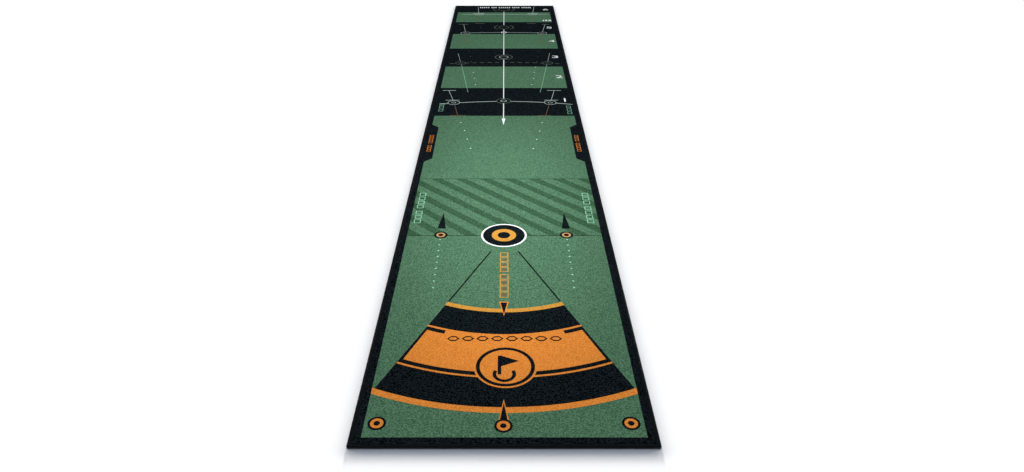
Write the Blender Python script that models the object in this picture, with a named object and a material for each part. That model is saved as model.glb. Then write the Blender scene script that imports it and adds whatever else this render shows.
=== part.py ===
"""Practice putting mat: printed pile cloth on a scrim and a rubber backing, overlocked all round.

The mat lies flat with its underside on Z = 0 and its centre over the origin. Its length runs along Y, with
the target end at -Y, and its width along X. The three layers are cut to one size. On each edge the looper
threads of an overlock seam wrap them in a C-shaped band, and the needle thread lies just inside that band.
The seam squeezes the soft layers, so the rubber and the pile are stepped back under it and the whole edge
stays as thick as the mat.
"""

import math

import bmesh
import bpy

# Driving dimensions, in metres
MAT_WIDTH = 0.500
MAT_LENGTH = 3.000
RUBBER_THICKNESS = 0.0020
CLOTH_THICKNESS = 0.0006
PILE_THICKNESS = 0.0018
SEAM_BITE = 0.0060           # from the edge to the inner side of the looper wrap
LOOPER_THICKNESS = 0.0006    # the wrapped threads, above, below and round the edge
NEEDLE_THREAD_DIAMETER = 0.0006
SEAM_ROUNDING = 0.0014       # outer radius of the wrap, at the top and the bottom of the edge
FIT_GAP = 0.0003             # between any two pieces that lie against each other
ROUNDING_STEPS = 6           # flats in each rounded corner of the wrap
THREAD_SIDES = 8

# Heights that follow from them
CLOTH_BOTTOM = RUBBER_THICKNESS + FIT_GAP
PILE_BOTTOM = CLOTH_BOTTOM + CLOTH_THICKNESS + FIT_GAP
MAT_THICKNESS = PILE_BOTTOM + PILE_THICKNESS

# Distances in from the outer edge of the mat
LAYER_EDGE = LOOPER_THICKNESS + FIT_GAP
RUBBER_STEP = SEAM_BITE + FIT_GAP
PILE_STEP = SEAM_BITE + FIT_GAP + NEEDLE_THREAD_DIAMETER + FIT_GAP


def make_material(name, colour, roughness, sheen=0.0):
    """A Principled BSDF of one colour, given as linear red, green and blue."""
    material = bpy.data.materials.new(name)
    material.use_nodes = True
    shader = material.node_tree.nodes["Principled BSDF"]
    shader.inputs["Base Color"].default_value = (*colour, 1.0)
    shader.inputs["Roughness"].default_value = roughness
    shader.inputs["Metallic"].default_value = 0.0
    shader.inputs["Sheen Weight"].default_value = sheen
    material.diffuse_color = (*colour, 1.0)
    return material


def add_object(name, bm, material, turn=0.0):
    """Finishes a bmesh as one named object on the mat, turned about Z."""
    bmesh.ops.recalc_face_normals(bm, faces=bm.faces)
    mesh = bpy.data.meshes.new(name)
    bm.to_mesh(mesh)
    bm.free()
    mesh.materials.append(material)
    piece = bpy.data.objects.new(name, mesh)
    bpy.context.scene.collection.objects.link(piece)
    piece.rotation_euler.z = turn
    piece.parent = mat
    return piece


def extrude_up(bm, face, height):
    """Extrudes one face straight along Z and returns the new end face."""
    moved = bmesh.ops.extrude_face_region(bm, geom=[face, *face.edges])["geom"]
    points = [part for part in moved if isinstance(part, bmesh.types.BMVert)]
    bmesh.ops.translate(bm, verts=points, vec=(0, 0, height))
    return next(part for part in moved if isinstance(part, bmesh.types.BMFace))


def rectangle(bm, edge_distance, height):
    """One face at a height, its sides that far in from the edges of the mat."""
    half_x = MAT_WIDTH / 2 - edge_distance
    half_y = MAT_LENGTH / 2 - edge_distance
    corners = ((-half_x, -half_y), (half_x, -half_y), (half_x, half_y), (-half_x, half_y))
    return bm.faces.new([bm.verts.new((x, y, height)) for x, y in corners])


def plain_layer(name, bottom, top, material):
    """A flat sheet that reaches into the overlock on every side."""
    bm = bmesh.new()
    extrude_up(bm, rectangle(bm, LAYER_EDGE, bottom), top - bottom)
    return add_object(name, bm, material)


def stepped_layer(name, wide_face, step, narrow_face, step_distance, material):
    """A sheet whose one face is set back from the edges, where the overlock lies on it."""
    bm = bmesh.new()
    ledge = extrude_up(bm, rectangle(bm, LAYER_EDGE, wide_face), step - wide_face)
    bmesh.ops.inset_region(bm, faces=[ledge], thickness=step_distance - LAYER_EDGE, use_even_offset=True)
    extrude_up(bm, ledge, narrow_face - step)
    return add_object(name, bm, material)


def wrap_section():
    """The C-shaped section of the looper wrap, as (distance in from the edge, height)."""
    radius = min(SEAM_ROUNDING, MAT_THICKNESS / 2)
    quarter = [math.pi / 2 * step / ROUNDING_STEPS for step in range(ROUNDING_STEPS + 1)]
    top_round = [
        (radius - radius * math.sin(angle), MAT_THICKNESS - radius + radius * math.cos(angle))
        for angle in quarter
    ]
    bottom_round = [(distance, MAT_THICKNESS - height) for distance, height in reversed(top_round)]
    ceiling = MAT_THICKNESS - LOOPER_THICKNESS
    inside = [
        (SEAM_BITE, 0.0),
        (SEAM_BITE, LOOPER_THICKNESS),
        (LOOPER_THICKNESS, LOOPER_THICKNESS),
        (LOOPER_THICKNESS, ceiling),
        (SEAM_BITE, ceiling),
        (SEAM_BITE, MAT_THICKNESS),
    ]
    return top_round + bottom_round + inside


def needle_thread_section():
    """The round section of the needle thread, beside the wrap and level with the pile."""
    radius = NEEDLE_THREAD_DIAMETER / 2
    middle = SEAM_BITE + FIT_GAP + radius
    turns = [2 * math.pi * (side + 0.5) / THREAD_SIDES for side in range(THREAD_SIDES)]
    return [
        (middle + radius * math.cos(angle), MAT_THICKNESS - radius + radius * math.sin(angle))
        for angle in turns
    ]


def edge_run(name, section, run_length, edge_distance, turn, material):
    """Sweeps a section along one edge of the mat, its two ends mitred to meet the next runs."""
    mitre_gap = FIT_GAP / math.sqrt(2)
    half_run = run_length / 2 - mitre_gap
    bm = bmesh.new()
    end = bm.faces.new([
        bm.verts.new((distance - half_run, edge_distance - distance, height))
        for distance, height in section
    ])
    swept = bmesh.ops.extrude_face_region(bm, geom=[end])["geom"]
    for point in [part for part in swept if isinstance(part, bmesh.types.BMVert)]:
        point.co.x = -point.co.x
    piece = add_object(name, bm, material, turn)
    piece.data.shade_smooth()
    piece.data.set_sharp_from_angle(angle=math.radians(40))
    return piece


for old in list(bpy.data.objects):
    bpy.data.objects.remove(old)

mat = bpy.data.objects.new("mat", None)
bpy.context.scene.collection.objects.link(mat)

rubber = make_material("black_rubber", (0.010, 0.011, 0.012), 0.75)
scrim = make_material("grey_scrim", (0.16, 0.17, 0.17), 0.95)
pile = make_material("printed_pile", (0.095, 0.220, 0.135), 0.95, sheen=0.3)
thread = make_material("black_thread", (0.007, 0.008, 0.010), 0.60, sheen=0.2)

stepped_layer("rubber_backing", RUBBER_THICKNESS, LOOPER_THICKNESS + FIT_GAP, 0.0, RUBBER_STEP, rubber)
plain_layer("backing_cloth", CLOTH_BOTTOM, CLOTH_BOTTOM + CLOTH_THICKNESS, scrim)
stepped_layer(
    "putting_surface",
    PILE_BOTTOM,
    MAT_THICKNESS - LOOPER_THICKNESS - FIT_GAP,
    MAT_THICKNESS,
    PILE_STEP,
    pile,
)

# Each edge by name: the length of its run, how far it lies from the middle, and its turn from the far end
edges = {
    "far_end": (MAT_WIDTH, MAT_LENGTH / 2, 0.0),
    "left_side": (MAT_LENGTH, MAT_WIDTH / 2, math.pi / 2),
    "near_end": (MAT_WIDTH, MAT_LENGTH / 2, math.pi),
    "right_side": (MAT_LENGTH, MAT_WIDTH / 2, -math.pi / 2),
}
for edge, (run_length, edge_distance, turn) in edges.items():
    edge_run("overlock_" + edge, wrap_section(), run_length, edge_distance, turn, thread)
    edge_run("needle_thread_" + edge, needle_thread_section(), run_length, edge_distance, turn, thread)
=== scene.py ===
import math
import random

import bmesh
import bpy
from mathutils import Matrix, Vector


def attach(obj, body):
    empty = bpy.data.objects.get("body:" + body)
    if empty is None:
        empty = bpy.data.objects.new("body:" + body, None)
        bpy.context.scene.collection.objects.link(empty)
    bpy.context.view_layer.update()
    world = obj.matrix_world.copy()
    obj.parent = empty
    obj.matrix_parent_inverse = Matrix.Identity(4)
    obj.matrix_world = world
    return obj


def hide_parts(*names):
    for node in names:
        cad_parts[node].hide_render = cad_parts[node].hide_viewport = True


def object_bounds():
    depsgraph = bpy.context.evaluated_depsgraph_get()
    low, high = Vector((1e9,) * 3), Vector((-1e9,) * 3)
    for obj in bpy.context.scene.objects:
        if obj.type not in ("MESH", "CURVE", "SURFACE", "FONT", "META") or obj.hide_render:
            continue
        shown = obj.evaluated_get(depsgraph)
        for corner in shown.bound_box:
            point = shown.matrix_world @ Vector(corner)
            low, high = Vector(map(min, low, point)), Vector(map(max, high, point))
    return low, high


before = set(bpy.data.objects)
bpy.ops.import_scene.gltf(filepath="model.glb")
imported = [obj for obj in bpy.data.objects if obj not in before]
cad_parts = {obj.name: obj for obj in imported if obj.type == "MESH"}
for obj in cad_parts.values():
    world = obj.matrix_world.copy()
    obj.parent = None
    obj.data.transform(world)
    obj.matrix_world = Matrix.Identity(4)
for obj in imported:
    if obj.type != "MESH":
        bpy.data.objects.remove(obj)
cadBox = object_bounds()
low, high = cadBox
mm = 0.001
nearEnd = low.y  # everything printed is measured from this end, along the mat
faceTop = high.z
halfWidth = high.x
matWidth, matLength = high.x - low.x, high.y - low.y
random.seed(7)
print("frame loaded, mat", round(matWidth, 3), "x", round(matLength, 3), "m")

view = {  # millimetres for the lens, metres back from and above the near edge, and degrees down
    "lens": 25.495,
    "sensor": 36,
    "x": 0.0011,
    "back": 0.8217,
    "height": 0.8716,
    "pitchDown": 30.475,
    "shiftX": 0.00718,
    "clip": (0.02, 200),
}
camera = bpy.data.objects.new("camera", bpy.data.cameras.new("camera"))
bpy.context.scene.collection.objects.link(camera)
bpy.context.scene.camera = camera
camera.data.sensor_width = view["sensor"]
camera.data.lens = view["lens"]
camera.data.shift_x = view["shiftX"]
camera.location = (view["x"], nearEnd - view["back"], faceTop + view["height"])
camera.rotation_euler = (math.radians(90 - view["pitchDown"]), 0, 0)
camera.data.clip_start, camera.data.clip_end = view["clip"]


def toLinear(hexColour):  # sRGB hex to the linear colour that Blender's sockets take
    channels = [int(hexColour[i : i + 2], 16) / 255 for i in (1, 3, 5)]
    return [c / 12.92 if c <= 0.04045 else ((c + 0.055) / 1.055) ** 2.4 for c in channels] + [1.0]


def addNode(tree, kind, settings=None, sockets=None, links=None):
    node = tree.nodes.new(kind)
    for name, value in (settings or {}).items():
        setattr(node, name, value)
    for name, value in (sockets or {}).items():
        node.inputs[name].default_value = value
    for name, source in (links or {}).items():
        tree.links.new(source, node.inputs[name])
    return node


def startMaterial(name):
    material = bpy.data.materials.new(name)
    material.use_nodes = True
    tree = material.node_tree
    tree.nodes.clear()
    return material, tree


firstColour, secondColour, mixedColour = 6, 7, 2  # where a Mix node takes its two colours and gives one
wavePeriod = 2 * math.pi / 20  # what a Wave texture of scale 1 repeats at


def perMetre(size):  # texture scale that gives features of this size in millimetres
    return 1000 / size


bpy.context.scene.view_settings.view_transform = "Standard"
bpy.context.scene.view_settings.look = "None"
studio = {"colour": "#FBFCFF", "strength": 1.0}
world = bpy.data.worlds.new("studio")
bpy.context.scene.world = world
world.use_nodes = True
background = world.node_tree.nodes["Background"]
background.inputs["Color"].default_value = toLinear(studio["colour"])
background.inputs["Strength"].default_value = studio["strength"]

# Rolled studio paper: matt, with a faint felt of fibres. It goes white where the low suns reach it.
# Its half width is in metres, and the grain and relief are in millimetres.
floorLook = {"colour": "#8F969F", "half": 30.0, "grain": 6.0, "bump": 0.02, "relief": 0.1}
material, tree = startMaterial("paper_floor_matt")
coords = addNode(tree, "ShaderNodeTexCoord")
fibre = addNode(
    tree,
    "ShaderNodeTexNoise",
    sockets={"Scale": perMetre(floorLook["grain"]), "Detail": 1.0},
    links={"Vector": coords.outputs["Object"]},
)
relief = addNode(
    tree,
    "ShaderNodeBump",
    sockets={"Strength": floorLook["bump"], "Distance": floorLook["relief"] * mm},
    links={"Height": fibre.outputs["Fac"]},
)
shader = addNode(
    tree,
    "ShaderNodeBsdfPrincipled",
    sockets={"Base Color": toLinear(floorLook["colour"]), "Roughness": 1.0, "Specular IOR Level": 0.0},
    links={"Normal": relief.outputs["Normal"]},
)
addNode(tree, "ShaderNodeOutputMaterial", links={"Surface": shader.outputs["BSDF"]})
bm = bmesh.new()
bmesh.ops.create_grid(bm, x_segments=2, y_segments=2, size=floorLook["half"])
floorMesh = bpy.data.meshes.new("floor")
bm.to_mesh(floorMesh)
bm.free()
floorMesh.materials.append(material)
floor = bpy.data.objects.new("floor", floorMesh)
bpy.context.scene.collection.objects.link(floor)

# The floor has its own low, wide light from behind the far end, which leaves a soft shadow
# before the near end. The two pools from above light the mat only.
onFloor = bpy.data.collections.new("litFloor")
onMat = bpy.data.collections.new("litMat")
onFloor.objects.link(floor)

sweepLight = {"power": 8.7, "colour": "#FFEFDD"}
sweeps = [  # degrees round from the far end, height above the floor, spread, and share of the light
    (0.0, 9.1, 7.0, 0.39),
    (-28.5, 12.3, 15.5, 0.185),
    (28.5, 12.3, 15.5, 0.185),
    (-62.5, 10.2, 14.0, 0.12),
    (62.5, 10.2, 14.0, 0.12),
]
for turn, elevation, spread, share in sweeps:
    sun = bpy.data.lights.new("sweepLight", "SUN")
    sun.energy = sweepLight["power"] * share / math.sin(math.radians(elevation))
    sun.angle = math.radians(spread)
    sun.color = toLinear(sweepLight["colour"])[:3]
    holder = bpy.data.objects.new("sweepLight", sun)
    bpy.context.scene.collection.objects.link(holder)
    holder.rotation_euler = (math.radians(elevation - 90), 0, math.radians(turn))
    holder.light_linking.receiver_collection = onFloor

pools = {  # along the mat, half lengths of the pool across and along, and its strength in watts
    "mainPool": {"along": 0.78, "across": 0.34, "reach": 0.74, "power": 240.0},
    "tailPool": {"along": 1.40, "across": 0.50, "reach": 1.25, "power": 90.0},
}
poolLamp = {"height": 3.0, "radius": 0.12}
for name, pool in pools.items():
    lamp = bpy.data.lights.new(name, "SPOT")
    lamp.energy = pool["power"]
    lamp.spot_size = 2 * math.atan(pool["reach"] / poolLamp["height"])
    lamp.spot_blend = 1.0
    lamp.shadow_soft_size = poolLamp["radius"]
    holder = bpy.data.objects.new(name, lamp)
    bpy.context.scene.collection.objects.link(holder)
    holder.location = (0, nearEnd + pool["along"], faceTop + poolLamp["height"])
    holder.scale = (pool["across"] / pool["reach"], 1, 1)
    holder.light_linking.receiver_collection = onMat
print("camera, floor and lights are set")


# Cut polyester pile, dye printed: matt, with a grain of tufts that take the dye unevenly, and clumps
# where the nap leans another way. Real tufts are near 0.8 mm. They are drawn at 2.8 mm, and with more
# contrast than real ones, so that they show. Sizes are in millimetres.
pileLook = {"tuft": 2.8, "fleck": 1.1, "nap": 9.0, "bump": 0.55, "relief": 0.5}
pileGrain = {  # a stretch of the noise, then how far to the light colour, or how rough, its two ends are
    "tuft": (0.30, 0.70, -0.50, 1.40),
    "nap": (0.25, 0.75, -0.20, 0.30),
    "rough": (0.30, 0.70, 1.0, 0.88),
}
rangeSockets = ("From Min", "From Max", "To Min", "To Max")
inks = {  # dark and light ends of each printed colour's grain
    "black_dyed_pile": ("#000102", "#1A2125"),
    "green_dyed_pile": ("#365640", "#567A5F"),
    "shade_green_dyed_pile": ("#273F2E", "#3D5F45"),
    "orange_dyed_pile": ("#BE722C", "#DE893B"),
    "amber_dyed_pile": ("#AC7A2F", "#C9903F"),
    "sand_dyed_pile": ("#A27A34", "#BE9244"),
    "white_dyed_pile": ("#D0D5D3", "#F0F3F2"),
    "mint_dyed_pile": ("#74AD8C", "#98CFB0"),
    "grey_dyed_pile": ("#929F99", "#B2C0BA"),
    "peach_dyed_pile": ("#967A50", "#B09264"),
    "maroon_dyed_pile": ("#240400", "#3A0A02"),
    "rust_dyed_pile": ("#5E4630", "#7A5C40"),
    "dim_grey_dyed_pile": ("#49534A", "#65705F"),
}
pileMaterials = {}
for name, (dark, light) in inks.items():
    material, tree = startMaterial(name)
    coords = addNode(tree, "ShaderNodeTexCoord")
    tuft = addNode(
        tree,
        "ShaderNodeTexNoise",
        sockets={"Scale": perMetre(pileLook["tuft"]), "Detail": 1.0, "Roughness": 0.6},
        links={"Vector": coords.outputs["Object"]},
    )
    fleck = addNode(
        tree,
        "ShaderNodeTexVoronoi",
        sockets={"Scale": perMetre(pileLook["fleck"]), "Randomness": 1.0},
        links={"Vector": coords.outputs["Object"]},
    )
    nap = addNode(
        tree,
        "ShaderNodeTexNoise",
        sockets={"Scale": perMetre(pileLook["nap"]), "Detail": 3.0, "Roughness": 0.55},
        links={"Vector": coords.outputs["Object"]},
    )
    spread = addNode(
        tree,
        "ShaderNodeMapRange",
        sockets=dict(zip(rangeSockets, pileGrain["tuft"])),
        links={"Value": tuft.outputs["Fac"]},
    )
    lean = addNode(
        tree,
        "ShaderNodeMapRange",
        sockets=dict(zip(rangeSockets, pileGrain["nap"])),
        links={"Value": nap.outputs["Fac"]},
    )
    share = addNode(
        tree,
        "ShaderNodeMath",
        {"operation": "ADD", "use_clamp": True},
        links={0: spread.outputs[0], 1: lean.outputs[0]},
    )
    dye = addNode(tree, "ShaderNodeMix", {"data_type": "RGBA"}, links={"Factor": share.outputs[0]})
    dye.inputs[firstColour].default_value = toLinear(dark)
    dye.inputs[secondColour].default_value = toLinear(light)
    matt = addNode(
        tree,
        "ShaderNodeMapRange",
        sockets=dict(zip(rangeSockets, pileGrain["rough"])),
        links={"Value": tuft.outputs["Fac"]},
    )
    height = addNode(
        tree,
        "ShaderNodeMath",
        {"operation": "SUBTRACT"},
        links={0: tuft.outputs["Fac"], 1: fleck.outputs["Distance"]},
    )
    relief = addNode(
        tree,
        "ShaderNodeBump",
        sockets={"Strength": pileLook["bump"], "Distance": pileLook["relief"] * mm},
        links={"Height": height.outputs[0]},
    )
    shader = addNode(
        tree,
        "ShaderNodeBsdfPrincipled",
        sockets={"Specular IOR Level": 0.0, "IOR": 1.54},
        links={
            "Base Color": dye.outputs[mixedColour],
            "Roughness": matt.outputs[0],
            "Normal": relief.outputs["Normal"],
        },
    )
    addNode(tree, "ShaderNodeOutputMaterial", links={"Surface": shader.outputs["BSDF"]})
    pileMaterials[name] = material

# Bulked polyester sewing thread: near black, with a soft lustre, mottled by the turns of the yarn. Painted
# shade makes it darkest in the crease where it bends over the edge, and painted shade darkens the knots
# outside it too.
# The ply and the distances in from the edge are in millimetres.
threadLook = {"ply": 0.5, "rough": 0.6, "lustre": 0.06, "bump": 0.4, "relief": 0.1}
threadShadeBands = {"knotShadeAt": -0.5, "creaseFrom": -0.1, "creaseTo": 1.7, "flatFrom": 2.4}
# the dark colour is both the yarn's own mottle and the painted shade in the crease; the third colour is
# painted shade on the knots outside the edge
threadDyeAndShade = {"dark": "#020304", "light": "#1A2024", "knotShade": "#101417"}
material, tree = startMaterial("black_polyester_thread")
coords = addNode(tree, "ShaderNodeTexCoord")
ply = addNode(
    tree,
    "ShaderNodeTexNoise",
    sockets={"Scale": perMetre(threadLook["ply"]), "Detail": 2.0},
    links={"Vector": coords.outputs["Object"]},
)
place = addNode(tree, "ShaderNodeSeparateXYZ", links={"Vector": coords.outputs["Object"]})
inward = []
for axis, half in (("X", halfWidth), ("Y", matLength / 2)):
    size = addNode(tree, "ShaderNodeMath", {"operation": "ABSOLUTE"}, links={0: place.outputs[axis]})
    gap = addNode(tree, "ShaderNodeMath", {"operation": "SUBTRACT"}, {0: half}, {1: size.outputs[0]})
    inward.append(gap)
fromEdge = addNode(
    tree,
    "ShaderNodeMath",
    {"operation": "MINIMUM"},
    links={0: inward[0].outputs[0], 1: inward[1].outputs[0]},
)
ramps = []  # clear of the crease's painted shade inside it, clear of it outside, and off the painted shade on the knots
for start, end in (("creaseTo", "flatFrom"), ("creaseFrom", "knotShadeAt"), ("knotShadeAt", "creaseFrom")):
    limits = {"From Min": threadShadeBands[start] * mm, "From Max": threadShadeBands[end] * mm}
    ramps.append(addNode(tree, "ShaderNodeMapRange", sockets=limits, links={"Value": fromEdge.outputs[0]}))
clear = addNode(
    tree,
    "ShaderNodeMath",
    {"operation": "MAXIMUM"},
    links={0: ramps[0].outputs[0], 1: ramps[1].outputs[0]},
)
shade = addNode(
    tree,
    "ShaderNodeMath",
    {"operation": "MULTIPLY"},
    links={0: clear.outputs[0], 1: ply.outputs["Fac"]},
)
# painted shade on the knots outside the edge, the yarn's lighter colour inside it
yarn = addNode(tree, "ShaderNodeMix", {"data_type": "RGBA"}, links={"Factor": ramps[2].outputs[0]})
yarn.inputs[firstColour].default_value = toLinear(threadDyeAndShade["knotShade"])
yarn.inputs[secondColour].default_value = toLinear(threadDyeAndShade["light"])
# the crease takes the dark colour as painted shade; elsewhere the ply mottles the yarn between dark and its
# other colour
dye = addNode(
    tree,
    "ShaderNodeMix",
    {"data_type": "RGBA"},
    links={"Factor": shade.outputs[0], secondColour: yarn.outputs[mixedColour]},
)
dye.inputs[firstColour].default_value = toLinear(threadDyeAndShade["dark"])
relief = addNode(
    tree,
    "ShaderNodeBump",
    sockets={"Strength": threadLook["bump"], "Distance": threadLook["relief"] * mm},
    links={"Height": ply.outputs["Fac"]},
)
shader = addNode(
    tree,
    "ShaderNodeBsdfPrincipled",
    sockets={"Roughness": threadLook["rough"], "Specular IOR Level": threadLook["lustre"]},
    links={"Base Color": dye.outputs[mixedColour], "Normal": relief.outputs["Normal"]},
)
addNode(tree, "ShaderNodeOutputMaterial", links={"Surface": shader.outputs["BSDF"]})
threadMaterial = material

# Woven polyester scrim: charcoal grey yarns every 3.2 mm both ways, darker in the gaps. The charcoal is
# painted shade:
# the sheet is painted darker than grey so that its cut edge, where it shows between the stitches, stays
# nearly as dark as the thread.
# both colours are painted dark as painted shade for the cut edge between the stitches
scrimLook = {"yarn": 3.2, "bump": 0.6, "relief": 0.2, "gap": "#131516", "yarnColour": "#282B2C"}
material, tree = startMaterial("grey_woven_scrim")
coords = addNode(tree, "ShaderNodeTexCoord")
across, along = [
    addNode(
        tree,
        "ShaderNodeTexWave",
        {"bands_direction": direction},
        {"Scale": perMetre(scrimLook["yarn"]) * wavePeriod, "Distortion": 0.6, "Detail": 1.0},
        {"Vector": coords.outputs["Object"]},
    )
    for direction in ("X", "Y")
]
weave = addNode(
    tree,
    "ShaderNodeMath",
    {"operation": "MAXIMUM"},
    links={0: across.outputs["Fac"], 1: along.outputs["Fac"]},
)
yarnColour = addNode(tree, "ShaderNodeMix", {"data_type": "RGBA"}, links={"Factor": weave.outputs[0]})
yarnColour.inputs[firstColour].default_value = toLinear(scrimLook["gap"])
yarnColour.inputs[secondColour].default_value = toLinear(scrimLook["yarnColour"])
relief = addNode(
    tree,
    "ShaderNodeBump",
    sockets={"Strength": scrimLook["bump"], "Distance": scrimLook["relief"] * mm},
    links={"Height": weave.outputs[0]},
)
shader = addNode(
    tree,
    "ShaderNodeBsdfPrincipled",
    sockets={"Roughness": 0.95, "Specular IOR Level": 0.2},
    links={"Base Color": yarnColour.outputs[mixedColour], "Normal": relief.outputs["Normal"]},
)
addNode(tree, "ShaderNodeOutputMaterial", links={"Surface": shader.outputs["BSDF"]})
scrimMaterial = material

# Calendered black rubber: matt charcoal with the small cells of the embossing roller on its underside,
# and a faint cloudy bloom. The cells, the bloom and the relief are in millimetres.
rubberLook = {"cell": 2.6, "bloom": 60.0, "bump": 0.7, "relief": 0.4, "dark": "#0C0D0E", "light": "#1D1F20"}
material, tree = startMaterial("black_embossed_rubber")
coords = addNode(tree, "ShaderNodeTexCoord")
cell = addNode(
    tree,
    "ShaderNodeTexVoronoi",
    {"feature": "SMOOTH_F1"},
    {"Scale": perMetre(rubberLook["cell"]), "Randomness": 0.35},
    {"Vector": coords.outputs["Object"]},
)
bloom = addNode(
    tree,
    "ShaderNodeTexNoise",
    sockets={"Scale": perMetre(rubberLook["bloom"]), "Detail": 3.0},
    links={"Vector": coords.outputs["Object"]},
)
tint = addNode(tree, "ShaderNodeMix", {"data_type": "RGBA"}, links={"Factor": bloom.outputs["Fac"]})
tint.inputs[firstColour].default_value = toLinear(rubberLook["dark"])
tint.inputs[secondColour].default_value = toLinear(rubberLook["light"])
dull = addNode(
    tree,
    "ShaderNodeMapRange",
    sockets={"To Min": 0.62, "To Max": 0.88},
    links={"Value": bloom.outputs["Fac"]},
)
relief = addNode(
    tree,
    "ShaderNodeBump",
    sockets={"Strength": rubberLook["bump"], "Distance": rubberLook["relief"] * mm},
    links={"Height": cell.outputs["Distance"]},
)
shader = addNode(
    tree,
    "ShaderNodeBsdfPrincipled",
    sockets={"Specular IOR Level": 0.4, "IOR": 1.52},
    links={
        "Base Color": tint.outputs[mixedColour],
        "Roughness": dull.outputs[0],
        "Normal": relief.outputs["Normal"],
    },
)
addNode(tree, "ShaderNodeOutputMaterial", links={"Surface": shader.outputs["BSDF"]})
rubberMaterial = material
print("materials are made")


def makePiece(name, bm, material, smooth=False):
    bmesh.ops.recalc_face_normals(bm, faces=bm.faces)
    for f in bm.faces:
        f.material_index = 0
    mesh = bpy.data.meshes.new(name)
    bm.to_mesh(mesh)
    bm.free()
    mesh.materials.append(material)
    if smooth:
        mesh.shade_smooth()
    piece = bpy.data.objects.new(name, mesh)
    bpy.context.scene.collection.objects.link(piece)
    onMat.objects.link(piece)
    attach(piece, "root")
    return piece


def layerFace(bm, inset, height):  # one rectangle that far in from the mat's edges
    made = bmesh.ops.create_grid(bm, x_segments=1, y_segments=1, size=1.0)
    size = Matrix.Diagonal((halfWidth - inset, matLength / 2 - inset, 1, 1))
    bmesh.ops.transform(bm, matrix=Matrix.Translation((0, 0, height)) @ size, verts=made["verts"])
    return made["verts"][0].link_faces[0]


def liftFace(bm, face, rise):
    moved = bmesh.ops.extrude_face_region(bm, geom=[face, *face.edges])["geom"]
    bmesh.ops.translate(bm, verts=[g for g in moved if isinstance(g, bmesh.types.BMVert)], vec=(0, 0, rise))
    return next(g for g in moved if isinstance(g, bmesh.types.BMFace))


def layerPiece(name, sheet, material):
    # a sheet starts at one height and is lifted to its first step, then stepped in and up or down
    bm = bmesh.new()
    (reach, level), *moreSteps = sheet["steps"]
    face = layerFace(bm, reach * mm, sheet["start"] * mm)
    face = liftFace(bm, face, (level - sheet["start"]) * mm)
    for inset, height in moreSteps:
        bmesh.ops.inset_region(bm, faces=[face], thickness=(inset - reach) * mm, use_even_offset=True)
        bmesh.ops.translate(bm, verts=face.verts, vec=(0, 0, (height - level) * mm))
        reach, level = inset, height
    return makePiece(name, bm, material)


# Millimetres in from the mat's edge, and the height there. The seam presses the pile and the rubber
# together along the edges. All three are cut to one size, inside the wrap of the threads.
cut = 0.9
layers = {
    "rubber": {"start": 2.0, "steps": [(cut, 0.9), (6.2, 0.9), (6.8, 0.45), (8.5, 0.1), (10.5, 0.0)]},
    "scrim": {"start": 2.3, "steps": [(cut, 2.9)]},
    "pile": {
        "start": 3.2,
        "steps": [(cut, 3.95), (1.6, 4.1), (6.2, 4.1), (6.9, 4.45), (8.0, 4.8), (9.5, 4.95), (12.0, 5.0)],
    },
}
rubberBack = layerPiece("rubberBack", layers["rubber"], rubberMaterial)
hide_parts("rubber_backing")
scrimSheet = layerPiece("scrimSheet", layers["scrim"], scrimMaterial)
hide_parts("backing_cloth")
pileGround = layerPiece("pileGround", layers["pile"], pileMaterials["black_dyed_pile"])
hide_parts("putting_surface")
print("layers are made")

seam = {  # the overlock, in millimetres
    "pitch": 3.2,
    "looper": 0.58,  # radius of each thread
    "needle": 0.30,
    "line": 6.6,  # how far in from the edge the needle goes down
    "bulge": 1.0,  # how far the loops may stand out from the edge
    "corner": 2.5,  # rounding of the mat's corners
    "follow": 0.6,  # how much of that rounding the loops follow
    "mitre": 0.3,  # least distance of a stitch from a corner's mitre
    "stray": 0.08,  # how far a stitch may be out of place
}
# One stitch: its share of the pitch along the edge, the distance in from it and the height.
# The lower looper thread is the upper one turned over and half a stitch on; they cross on the edge.
looperStitch = [
    (0.00, 6.25, 4.45),
    (0.26, 3.20, 4.74),
    (0.42, 0.10, 4.52),
    (0.50, -0.95, 3.05),
    (0.58, 0.10, 4.52),
    (0.74, 3.20, 4.74),
]
needleHeights = [(0.00, 4.15), (0.16, 4.68), (0.50, 4.78), (0.84, 4.68)]
needleStitch = [(share, seam["line"], height) for share, height in needleHeights]
matEdges = {  # length of the run, distance of the edge from the middle, and turn from the far end
    "far_end": (matWidth, matLength / 2, 0.0),
    "left_side": (matLength, matWidth / 2, math.pi / 2),
    "near_end": (matWidth, matLength / 2, math.pi),
    "right_side": (matLength, matWidth / 2, -math.pi / 2),
}


def threadRoute(stitch, run, turnedOver):
    # points (along, in from the edge, height) in metres, kept on this edge's side of the corner mitres
    count = round(run / (seam["pitch"] * mm))
    pitch = run / count
    points = []
    for number in range(count):
        for share, reach, height in stitch:
            along = (number + share + turnedOver / 2) * pitch - run / 2
            along += random.uniform(-1, 1) * seam["stray"] * mm
            if abs(along) > run / 2:
                continue
            reach = (reach + random.uniform(-1, 1) * seam["stray"]) * mm
            fromCorner = max(run / 2 - abs(along), seam["mitre"] * mm)
            corner = seam["corner"] * mm
            rounding = corner - math.sqrt(corner**2 - (corner - min(fromCorner, corner)) ** 2)
            reach = max(min(reach, fromCorner), rounding * seam["follow"] - seam["bulge"] * mm)
            height = height + random.uniform(-0.5, 0.5) * seam["stray"]
            if turnedOver:
                height = max(faceTop / mm - height, seam["looper"])
            points.append((along, reach, height * mm))
    return points


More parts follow.
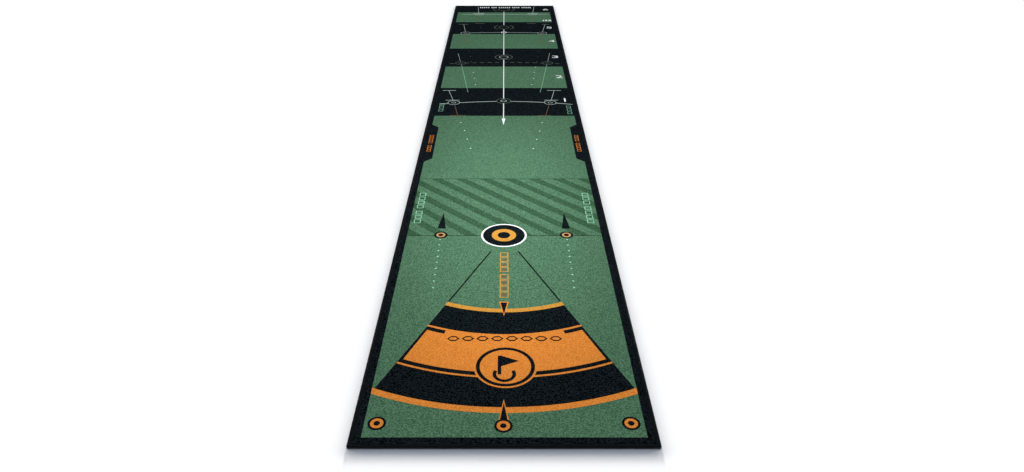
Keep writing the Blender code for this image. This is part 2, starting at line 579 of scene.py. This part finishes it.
def threadPiece(name, routes, radius, edgeDistance, turn):
    curve = bpy.data.curves.new(name, "CURVE")
    curve.dimensions = "3D"
    curve.bevel_depth = radius * mm
    curve.bevel_resolution = 1
    curve.use_fill_caps = True
    for route in routes:
        spline = curve.splines.new("POLY")
        spline.points.add(len(route) - 1)
        for point, (along, reach, height) in zip(spline.points, route):
            point.co = (along, edgeDistance - reach, height, 1)
    holder = bpy.data.objects.new(name + "Route", curve)
    bpy.context.scene.collection.objects.link(holder)
    bpy.context.view_layer.update()
    sewn = bpy.data.meshes.new_from_object(holder.evaluated_get(bpy.context.evaluated_depsgraph_get()))
    bpy.data.objects.remove(holder)
    sewn.transform(Matrix.Rotation(turn, 4, "Z"))
    bm = bmesh.new()
    bm.from_mesh(sewn)
    bpy.data.meshes.remove(sewn)
    return makePiece(name, bm, threadMaterial, smooth=True)


seamPieces = []
for edge, (run, edgeDistance, turn) in matEdges.items():
    loopers = [threadRoute(looperStitch, run, turnedOver) for turnedOver in (False, True)]
    looperThreads = threadPiece("loopers_" + edge, loopers, seam["looper"], edgeDistance, turn)
    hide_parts("overlock_" + edge)
    rowEnd = run / 2 - seam["line"] * mm  # where it meets the next edge's row
    needleRow = [point for point in threadRoute(needleStitch, run, False) if abs(point[0]) < rowEnd]
    needleThread = threadPiece("needleRow_" + edge, [needleRow], seam["needle"], edgeDistance, turn)
    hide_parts("needle_thread_" + edge)
    seamPieces += [looperThreads, needleThread]
print("seam is sewn,", len(seamPieces), "threads")


# Each colour is a set of thin patches of pile. A patch printed over another stands one step higher.
# The print sits a little off the mat's middle. Lengths along it are given a little long, and are shrunk.
ink = {
    "root": 0.35,  # millimetres that a patch reaches down into the pile
    "step": 0.05,  # and that each level stands above the one below
    "shiftX": 0.001,
    "shiftAlong": -0.0033,
    "shrink": 0.9946,
    "arcStep": 7.5,  # degrees to each straight piece of an arc
    "wideArcStep": 2.0,  # and of an arc wider than the radius below
    "wideFrom": 0.2,
    "fewestSteps": 4,
    "numeralGap": 0.05,  # millimetres within which a numeral's corners are made one
}
field = {"left": -0.2315, "right": 0.2305}  # the green stops here and leaves a black border
patches = {}


def sheetOf(pieceName):
    if pieceName not in patches:
        patches[pieceName] = bmesh.new()
    return patches[pieceName]


def partsOf(faces):  # their edges and corners, each once, in the order they are met
    edges = dict.fromkeys(e for f in faces for e in f.edges)
    verts = dict.fromkeys(v for f in faces for v in f.verts)
    return list(edges), list(verts)


def printPatch(bm, level, clip=()):
    # gives what was drawn last its place and thickness, cut off outside the planes in clip
    # a patch that is done has material index 1 until its piece is made
    fresh = [f for f in bm.faces if f.material_index == 0]
    for point, outward in clip:
        edges, verts = partsOf(fresh)
        bmesh.ops.bisect_plane(
            bm, geom=[*fresh, *edges, *verts], plane_co=point, plane_no=outward, clear_outer=True, dist=1e-7
        )
        fresh = [f for f in bm.faces if f.material_index == 0]
    if not fresh:
        return
    edges, verts = partsOf(fresh)
    for v in verts:
        v.co.x += ink["shiftX"]
        v.co.y = nearEnd + (v.co.y - nearEnd) * ink["shrink"] + ink["shiftAlong"]
        v.co.z = faceTop - ink["root"] * mm
    grown = bmesh.ops.extrude_face_region(bm, geom=[*fresh, *edges])["geom"]
    rise = (ink["root"] + level * ink["step"]) * mm
    bmesh.ops.translate(bm, verts=[g for g in grown if isinstance(g, bmesh.types.BMVert)], vec=(0, 0, rise))
    for f in bm.faces:
        f.material_index = 1


def drawSpot(bm, x, along, radius, sides=48):
    bmesh.ops.create_circle(
        bm, cap_ends=True, segments=sides, radius=radius, matrix=Matrix.Translation((x, nearEnd + along, 0))
    )


def drawBand(bm, x, along, outer, inner, start=0.0, sweep=360.0):
    # a ring, or the part of one from start through sweep, in degrees anticlockwise from +X
    centre = Vector((x, nearEnd + along, 0))
    heading = Vector((math.cos(math.radians(start)), math.sin(math.radians(start)), 0))
    ends = [bm.verts.new(centre + heading * r) for r in (inner, outer)]
    edge = bm.edges.new(ends)
    whole = abs(sweep) >= 360
    arcStep = ink["wideArcStep"] if outer > ink["wideFrom"] else ink["arcStep"]
    steps = max(ink["fewestSteps"], round(abs(sweep) / arcStep))
    bmesh.ops.spin(
        bm,
        geom=[*ends, edge],
        cent=centre,
        axis=(0, 0, 1),
        angle=math.radians(sweep),
        steps=steps,
        use_merge=whole,
    )


def drawShape(bm, corners):
    return bm.faces.new([bm.verts.new((x, nearEnd + along, 0)) for x, along in corners])


def drawBar(bm, left, right, start, end):
    return drawShape(bm, [(left, start), (right, start), (right, end), (left, end)])


def drawStroke(bm, fromX, fromAlong, toX, toAlong, width):
    side = Vector((fromAlong - toAlong, toX - fromX)).normalized() * width / 2
    a, b = Vector((fromX, fromAlong)), Vector((toX, toAlong))
    drawShape(bm, [a - side, b - side, b + side, a + side])


def drawNumeral(bm, text, x, along, width, height):
    words = bpy.data.curves.new("numeral", "FONT")
    words.body = text
    holder = bpy.data.objects.new("numeral", words)
    bpy.context.scene.collection.objects.link(holder)
    bpy.context.view_layer.update()
    flat = bpy.data.meshes.new_from_object(holder.evaluated_get(bpy.context.evaluated_depsgraph_get()))
    bpy.data.objects.remove(holder)
    xs, ys = [v.co.x for v in flat.vertices], [v.co.y for v in flat.vertices]
    middle = Vector(((min(xs) + max(xs)) / 2, (min(ys) + max(ys)) / 2, 0))
    size = Matrix.Diagonal((width / (max(xs) - min(xs)), height / (max(ys) - min(ys)), 1, 1))
    flat.transform(Matrix.Translation((x, nearEnd + along, 0)) @ size @ Matrix.Translation(-middle))
    known = set(bm.verts)
    bm.from_mesh(flat)
    bpy.data.meshes.remove(flat)
    fresh = [v for v in bm.verts if v not in known]
    bmesh.ops.remove_doubles(bm, verts=fresh, dist=ink["numeralGap"] * mm)


fieldClip = [((field["left"], 0, 0), (-1, 0, 0)), ((field["right"], 0, 0), (1, 0, 0))]

# Green ground, one patch to a zone
greenZones = {  # start and end along the mat, and the right edge
    "greenPutt": (0.0235, 0.668, 0.2305),
    "greenStriped": (0.668, 0.9765, 0.2305),
    "greenMiddle": (0.9765, 1.4525, 0.2300),
    "greenFirst": (1.731, 1.986, 0.2270),
    "greenSecond": (2.2375, 2.4675, 0.2255),
    "greenThird": (2.681, 2.8730, 0.2245),
}
for name, (start, end, right) in greenZones.items():
    drawBar(sheetOf(name), field["left"], right, start, end)
    printPatch(sheetOf(name), 1)

shadeGreen, black, orange = sheetOf("stripeShade"), sheetOf("blackPrint"), sheetOf("orangePrint")
amber, white, mint = sheetOf("amberPrint"), sheetOf("whitePrint"), sheetOf("mintPrint")
grey, sand, rust = sheetOf("greyPrint"), sheetOf("sandPrint"), sheetOf("rustPrint")
dim, peach, maroon = sheetOf("dimPrint"), sheetOf("peachPrint"), sheetOf("maroonPrint")

# Stripes beyond the target, slanting at 45 degrees, with a thin line across the mat at either end
stripes = {"pitch": 0.0665, "width": 0.030, "x": -0.0368, "along": 0.76, "eachSide": 8, "line": 0.0018}
stripeEnds = greenZones["greenStriped"][:2]
for number in range(-stripes["eachSide"], stripes["eachSide"] + 1):
    x = stripes["x"] + number * stripes["pitch"]
    left, right = x - stripes["width"] / 2, x + stripes["width"] / 2
    near, far = stripeEnds
    nearLean, farLean = stripes["along"] - near, stripes["along"] - far
    drawShape(
        shadeGreen,
        [(left + nearLean, near), (right + nearLean, near), (right + farLean, far), (left + farLean, far)],
    )
    printPatch(shadeGreen, 2, fieldClip)
for along in stripeEnds:
    drawBar(black, field["left"], field["right"], along - stripes["line"] / 2, along + stripes["line"] / 2)
    printPatch(black, 2)

# The fan before the near end: bands about the target's middle, between two lines that run on to the target
fan = {"x": 0.0, "along": 0.67, "lineAngle": 23.0, "lineFrom": 0.08, "lineTo": 0.2935, "line": 0.0036}
fanBands = [  # ink, outer and inner radius, half angle, half angle left out of the middle, level
    (orange, 0.5915, 0.5775, 24.6, 0.0, 2),
    (black, 0.5778, 0.3080, 23.15, 0.0, 3),
    (orange, 0.5045, 0.4998, 23.05, 0.0, 4),
    (orange, 0.4897, 0.3790, 22.4, 0.0, 4),
    (orange, 0.3845, 0.3797, 23.25, 17.2, 5),
    (black, 0.3950, 0.3845, 22.9, 17.2, 5),
    (amber, 0.3081, 0.2959, 23.3, 0.0, 4),
]
for bm, outer, inner, half, leftOut, level in fanBands:
    arcs = [(270 - half, 2 * half)]  # the near end lies at 270 degrees
    if leftOut:
        arcs = [(270 - half, half - leftOut), (270 + leftOut, half - leftOut)]
    for start, sweep in arcs:
        drawBand(bm, fan["x"], fan["along"], outer, inner, start, sweep)
    printPatch(bm, level, fieldClip)
for side in (-1, 1):
    angle = math.radians(270 + side * fan["lineAngle"])
    reach = [fan["lineFrom"], fan["lineTo"]]
    ends = [(math.cos(angle) * radius, fan["along"] + math.sin(angle) * radius) for radius in reach]
    drawStroke(black, *ends[0], *ends[1], fan["line"])
    printPatch(black, 2)

# Emblem: a flag on its pole over a hole, in a ring
emblem = {"x": 0.0015, "along": 0.197, "disc": 0.0575, "ring": 0.0537, "inside": 0.0467, "sides": 72}
x, along = emblem["x"], emblem["along"]
drawSpot(orange, x, along, emblem["disc"], emblem["sides"])
printPatch(orange, 6)
drawBand(black, x, along, emblem["ring"], emblem["inside"])
printPatch(black, 7)
flag = {"left": -0.0080, "right": 0.025, "foot": 0.0, "top": 0.030}
pole = {"left": -0.0140, "right": -0.0075, "foot": -0.022}
drawBar(black, x + pole["left"], x + pole["right"], along + pole["foot"], along + flag["top"])
corners = [(flag["left"], flag["top"]), (flag["left"], flag["foot"]), (flag["right"], flag["top"] / 2)]
drawShape(black, [(x + dx, along + dy) for dx, dy in corners])
printPatch(black, 7)
hole = {"x": -0.002, "along": -0.021, "outer": 0.021, "inner": 0.0145, "from": 150, "sweep": 240}
holeX, holeAlong = x + hole["x"], along + hole["along"]
drawBand(black, holeX, holeAlong, hole["outer"], hole["inner"], hole["from"], hole["sweep"])
printPatch(black, 8)

# Arrows on the middle line, each an orange outline round black; the near one grows out of its ring
arrows = [  # base, tip, and half width at the base, of the outline and of the inside
    ((0.0620, 0.1115, 0.0088), (0.0600, 0.1035, 0.0068)),
    ((0.3985, 0.3500, 0.0101), (0.3955, 0.3550, 0.0069)),
]
arrowX = -0.0014
for outline, inside in arrows:
    for (base, tip, half), bm, level in ((outline, orange, 5), (inside, black, 6)):
        drawShape(bm, [(arrowX - half, base), (arrowX + half, base), (arrowX, tip)])
        printPatch(bm, level)


def printRings(x, along, discs):  # discs one on another, largest first: ink, radius, sides, level
    for bm, radius, sides, level in discs:
        drawSpot(bm, x, along, radius, sides)
        printPatch(bm, level)


# Rings at the near end
for x, along in ((-0.2105, 0.0545), (-0.002, 0.049), (0.2085, 0.0545)):
    printRings(x, along, [(black, 0.0152, 48, 7), (orange, 0.0110, 48, 8), (black, 0.0054, 32, 9)])

# A row of open hexagons across the fan, where a maker puts a name
hexagons = {
    "from": -0.112,  # across the mat
    "to": 0.112,
    "count": 8,
    "gap": 0.0036,
    "start": 0.2700,  # along the mat
    "end": 0.2850,
    "stroke": 0.0040,
    "flatStroke": 0.0036,  # top and bottom
}
step = (hexagons["to"] - hexagons["from"]) / hexagons["count"]
middle = (hexagons["start"] + hexagons["end"]) / 2
wide, tall = (step - hexagons["gap"]) / 2, (hexagons["end"] - hexagons["start"]) / 2
hexagonSizes = (  # ink, half width, half height and level of the outside and the inside
    (black, wide, tall, 5),
    (orange, wide - hexagons["stroke"], tall - hexagons["flatStroke"], 6),
)
for number in range(hexagons["count"]):
    x = hexagons["from"] + (number + 0.5) * step
    for bm, half, rise, level in hexagonSizes:
        top = [(half, 0), (half - rise, rise), (rise - half, rise)]
        corners = top + [(-dx, -dy) for dx, dy in top]
        drawShape(bm, [(x + dx, middle + dy) for dx, dy in corners])
        printPatch(bm, level)

# The target, and on either side a small one with a row of dots before it and an arrow beyond it
targetRings = [
    (white, 0.0541, 72, 4),
    (black, 0.0497, 72, 5),
    (amber, 0.0289, 72, 6),
    (black, 0.0148, 72, 7),
]
printRings(-0.0016, 0.67, targetRings)
sideTarget = {"along": 0.671, "dots": 9, "firstDot": 0.65, "dotPitch": 0.025}
dot = {"radius": 0.0022, "sides": 12}
smallRings = [(black, 0.0160, 48, 5), (peach, 0.0108, 48, 6), (maroon, 0.0060, 32, 7)]
for x in (-0.1515, 0.147):
    printRings(x, sideTarget["along"], smallRings)
    for number in range(sideTarget["dots"]):
        along = sideTarget["firstDot"] - number * sideTarget["dotPitch"]
        drawSpot(mint, x, along, dot["radius"], dot["sides"])
        printPatch(mint, 2)
sideArrow = {"base": 0.702, "tip": 0.782, "half": 0.0101}
for x in (-0.152, 0.148):
    half, base = sideArrow["half"], sideArrow["base"]
    drawShape(black, [(x - half, base), (x + half, base), (x, sideArrow["tip"])])
    printPatch(black, 4)


def drawFrame(bm, left, right, start, end, stroke):  # an open box
    face = drawBar(bm, left, right, start, end)
    face.normal_update()
    bmesh.ops.inset_region(bm, faces=[face], thickness=stroke, use_even_offset=True, use_boundary=True)
    bmesh.ops.delete(bm, geom=[face], context="FACES_ONLY")


# Open boxes in place of words up the middle line, in two runs of four, each round a small bar
middleBox = {"left": -0.0104, "right": 0.0086, "margin": 0.0008, "stroke": 0.0023, "inRun": 4}
middleBar = {"left": -0.0050, "right": 0.0032, "margin": 0.0065}
for start, end in ((0.4125, 0.5025), (0.510, 0.5925)):
    pitch = (end - start) / middleBox["inRun"]
    for number in range(middleBox["inRun"]):
        foot = start + number * pitch
        bottom, top = foot + middleBox["margin"], foot + pitch - middleBox["margin"]
        drawFrame(sand, middleBox["left"], middleBox["right"], bottom, top, middleBox["stroke"])
        printPatch(sand, 3)
        bottom, top = foot + middleBar["margin"], foot + pitch - middleBar["margin"]
        drawBar(rust, middleBar["left"], middleBar["right"], bottom, top)
        printPatch(rust, 3)

# Side tabs
for edge, inner in ((-0.2345, -0.210), (0.2325, 0.2075)):
    drawShape(black, [(edge, 1.086), (inner, 1.112), (inner, 1.352), (edge, 1.377)])
    printPatch(black, 2)


def evenly(first, pitch, count):
    return [first + number * pitch for number in range(count)]


# Open boxes in place of words: beside the striped zone, on the side tabs and beside the first line
stripedBox = {"pitch": 0.0225, "length": 0.0175, "stroke": 0.0018, "level": 4}
tabBox = {"pitch": 0.0165, "length": 0.0130, "stroke": 0.0014, "level": 3}
lineBox = {"length": 0.0200, "stroke": 0.0013, "level": 3}
boxRuns = [  # ink, kind of box, left, right, and where each box starts
    (mint, stripedBox, -0.2225, -0.2060, evenly(0.7290, stripedBox["pitch"], 3)),
    (mint, stripedBox, -0.2225, -0.2060, evenly(0.8060, stripedBox["pitch"], 4)),
    (mint, stripedBox, 0.2025, 0.2195, evenly(0.7290, stripedBox["pitch"], 4)),
    (mint, stripedBox, 0.2025, 0.2195, evenly(0.8280, stripedBox["pitch"], 3)),
    (orange, tabBox, -0.2310, -0.2190, evenly(1.1620, tabBox["pitch"], 3)),
    (orange, tabBox, -0.2310, -0.2190, evenly(1.2240, tabBox["pitch"], 4)),
    (orange, tabBox, 0.2155, 0.2275, evenly(1.1620, tabBox["pitch"], 4)),
    (orange, tabBox, 0.2155, 0.2275, evenly(1.2400, tabBox["pitch"], 3)),
    (mint, lineBox, -0.2220, -0.2070, [1.4950, 1.5230, 1.5500]),
    (mint, lineBox, 0.2100, 0.2245, [1.4700, 1.4980, 1.5260]),
]
for bm, box, left, right, starts in boxRuns:
    for start in starts:
        drawFrame(bm, left, right, start, start + box["length"], box["stroke"])
        printPatch(bm, box["level"])

# White line up the middle, with its arrow head and gaps for the rings
lineX, lineWidth = -0.0035, 0.003
for start, end in ((1.425, 1.570), (1.620, 2.080), (2.1475, 2.545), (2.6275, 2.885)):
    drawBar(white, lineX - lineWidth / 2, lineX + lineWidth / 2, start, end)
    printPatch(white, 5)
head = {"tip": 1.372, "base": 1.428, "left": lineX - 0.006, "right": lineX + 0.006}
drawShape(white, [(lineX, head["tip"]), (head["right"], head["base"]), (head["left"], head["base"])])
printPatch(white, 5)
smallRing = {"along": 2.495, "outer": 0.0130, "inner": 0.0100}
drawBand(white, lineX, smallRing["along"], smallRing["outer"], smallRing["inner"])
printPatch(white, 5)

# Distance arcs about the target: two whole, one dashed, and a straight line beyond them
distanceArcs = [  # radius, width, left, right
    (0.92, 0.0036, -0.2225, 0.2325),
    (1.825, 0.0030, -0.155, 0.15),
]
for radius, width, left, right in distanceArcs:
    start, end = [math.degrees(math.acos(x / radius)) for x in (right, left)]
    drawBand(grey, fan["x"], fan["along"], radius + width / 2, radius - width / 2, start, end - start)
    printPatch(grey, 3)
dashes = {"radius": 1.3715, "dash": 0.017, "pitch": 0.030, "width": 0.0034, "eachSide": 7}
outer, inner = dashes["radius"] + dashes["width"] / 2, dashes["radius"] - dashes["width"] / 2
sweep = math.degrees(dashes["dash"] / dashes["radius"])
for number in range(-dashes["eachSide"], dashes["eachSide"] + 1):
    angle = math.degrees(number * dashes["pitch"] / dashes["radius"])
    drawBand(dim, fan["x"], fan["along"], outer, inner, 90 + angle - sweep / 2, sweep)
    printPatch(dim, 3)
straight = {"half": 0.21, "start": 2.8305, "end": 2.8355}
drawBar(grey, -straight["half"], straight["half"], straight["start"], straight["end"])
printPatch(grey, 3)

# Pairs of rings round the line: the two nearer ones whole on a black disc, the outer ring of the two
# farther ones in two arcs, left and right
lineRings = {"near": 0.0024, "far": 0.003, "arcFrom": (-50, 130), "arc": 100}  # widths, and arcs in degrees
for along, outer, inner in ((1.595, 0.0255, 0.011), (2.1125, 0.036, 0.019)):
    drawSpot(black, lineX, along, outer)
    printPatch(black, 4)
    for radius, bm in ((outer, dim), (inner, grey)):
        drawBand(bm, lineX, along, radius, radius - lineRings["near"])
        printPatch(bm, 5)
for along, outer, inner in ((2.585, 0.045, 0.025), (2.9375, 0.054, 0.0287)):
    drawBand(dim, lineX, along, inner, inner - lineRings["far"])
    printPatch(dim, 3)
    for start in lineRings["arcFrom"]:
        drawBand(dim, lineX, along, outer, outer - lineRings["far"], start, lineRings["arc"])
        printPatch(dim, 3)

# Guide lines, rings and cross bars on either side, from near to far
sideStrokes = [  # ink, from x and along, to x and along, width
    (grey, -0.2225, 1.704, -0.175, 1.704, 0.0030),
    (grey, -0.200, 1.702, -0.180, 1.605, 0.0016),
    (grey, -0.205, 1.6025, -0.1575, 1.6025, 0.0030),
    (rust, -0.170, 1.550, -0.1525, 1.440, 0.0017),
    (rust, -0.1825, 1.455, -0.1275, 1.455, 0.0028),
    (grey, 0.1525, 1.704, 0.2025, 1.704, 0.0030),
    (grey, 0.1775, 1.702, 0.1625, 1.605, 0.0016),
    (grey, 0.1375, 1.6025, 0.185, 1.6025, 0.0030),
    (rust, 0.1515, 1.550, 0.135, 1.452, 0.0017),
    (rust, 0.110, 1.455, 0.1525, 1.455, 0.0028),
    (grey, -0.1925, 2.1625, -0.1775, 2.055, 0.0013),
    (mint, -0.171, 2.012, -0.131, 1.685, 0.0011),
    (grey, 0.1865, 2.170, 0.173, 2.055, 0.0013),
    (mint, 0.167, 2.012, 0.1275, 1.685, 0.0011),
    (dim, -0.215, 2.640, -0.170, 2.640, 0.0060),
    (grey, -0.192, 2.638, -0.1785, 2.505, 0.0018),
    (rust, -0.1755, 2.460, -0.165, 2.310, 0.0020),
    (rust, -0.190, 2.330, -0.145, 2.330, 0.0030),
    (dim, 0.175, 2.640, 0.210, 2.640, 0.0060),
    (grey, 0.190, 2.638, 0.172, 2.505, 0.0018),
    (rust, 0.169, 2.460, 0.160, 2.310, 0.0020),
    (rust, 0.140, 2.330, 0.185, 2.330, 0.0030),
    (grey, -0.135, 2.990, -0.129, 2.858, 0.0018),
    (grey, -0.155, 2.850, -0.100, 2.850, 0.0060),
    (rust, -0.1255, 2.812, -0.1175, 2.675, 0.0016),
    (dim, -0.140, 2.655, -0.095, 2.655, 0.0040),
    (grey, 0.150, 2.990, 0.139, 2.858, 0.0018),
    (grey, 0.1125, 2.850, 0.165, 2.850, 0.0060),
    (rust, 0.136, 2.812, 0.1275, 2.670, 0.0016),
    (dim, 0.105, 2.655, 0.150, 2.655, 0.0040),
]
for bm, fromX, fromAlong, toX, toAlong, width in sideStrokes:
    drawStroke(bm, fromX, fromAlong, toX, toAlong, width)
    printPatch(bm, 3)
sideRings = [  # ink, x and along
    (grey, -0.1755, 1.578),
    (grey, 0.1575, 1.578),
    (dim, -0.175, 2.0325),
    (dim, 0.171, 2.0325),
    (grey, -0.1775, 2.4825),
    (grey, 0.170, 2.4825),
    (grey, -0.1275, 2.835),
    (grey, 0.1375, 2.835),
]
sideRing = {"disc": 0.0205, "bands": ((0.0210, 0.0190), (0.0078, 0.0060)), "discsUpTo": 2.5}
for bm, x, along in sideRings:
    if along < sideRing["discsUpTo"]:
        drawSpot(black, x, along, sideRing["disc"])
        printPatch(black, 4)
    for outer, inner in sideRing["bands"]:
        drawBand(bm, x, along, outer, inner)
        printPatch(bm, 5)

# Dots beside the middle line, pale on the green and dim on the black
paleDots = [
    (-0.141, 1.3925), (-0.1265, 1.325), (-0.1145, 1.255), (-0.1015, 1.185),
    (0.1215, 1.3935), (0.110, 1.320), (0.0985, 1.2535), (0.086, 1.1825),
    (-0.120, 1.9125), (-0.1135, 1.8425), (-0.1075, 1.770),
    (0.121, 1.9775), (0.114, 1.9125), (0.1085, 1.840), (0.100, 1.770),
]
dimDots = [
    (-0.1475, 2.195), (-0.140, 2.1225), (-0.134, 2.0525), (0.1425, 2.195), (0.136, 2.1225), (0.129, 2.0525),
    (-0.110, 2.585), (-0.1075, 2.510), (0.121, 2.580), (0.1175, 2.510),
]
for bm, dots in ((white, paleDots), (dim, dimDots)):
    for x, along in dots:
        drawSpot(bm, x, along, dot["radius"], dot["sides"])
        printPatch(bm, 3)

# Numbers of the zones up the right side, and small marks beside them
numerals = [  # digit, x and along of its middle, width, height
    ("1", 0.2095, 1.6050, 0.0055, 0.034),
    ("2", 0.206, 1.8600, 0.026, 0.030),
    ("3", 0.206, 2.1175, 0.026, 0.030),
    ("4", 0.206, 2.3525, 0.026, 0.030),
    ("5", 0.206, 2.5800, 0.026, 0.030),
    ("6", 0.206, 2.9325, 0.026, 0.030),
]
for digit, x, along, width, height in numerals:
    drawNumeral(white, digit, x, along, width, height)
    printPatch(white, 4)
markStart, markEnd = 2.703, 2.723
for x, half in ((0.186, 0.003), (0.199, 0.005), (0.216, 0.006)):
    drawBar(white, x - half, x + half, markStart, markEnd)
    printPatch(white, 3)

# A broken line at the far end, in five groups
farLine = {"x": -0.125, "start": 2.9655, "end": 2.9855, "bar": 0.0052, "pitch": 0.0103, "gap": 0.0065}
x = farLine["x"]
for bars in (5, 3, 6, 4, 5):
    for number in range(bars):
        drawBar(white, x, x + farLine["bar"], farLine["start"], farLine["end"])
        printPatch(white, 4)
        x += farLine["pitch"]
    x += farLine["gap"]
print("print is drawn")

pieceInks = {
    "stripeShade": "shade_green_dyed_pile",
    "blackPrint": "black_dyed_pile",
    "orangePrint": "orange_dyed_pile",
    "amberPrint": "amber_dyed_pile",
    "whitePrint": "white_dyed_pile",
    "mintPrint": "mint_dyed_pile",
    "greyPrint": "grey_dyed_pile",
    "sandPrint": "sand_dyed_pile",
    "peachPrint": "peach_dyed_pile",
    "maroonPrint": "maroon_dyed_pile",
    "rustPrint": "rust_dyed_pile",
    "dimPrint": "dim_grey_dyed_pile",
}
for name, bm in patches.items():
    material = pileMaterials[pieceInks.get(name, "green_dyed_pile")]
    makePiece(name, bm, material)
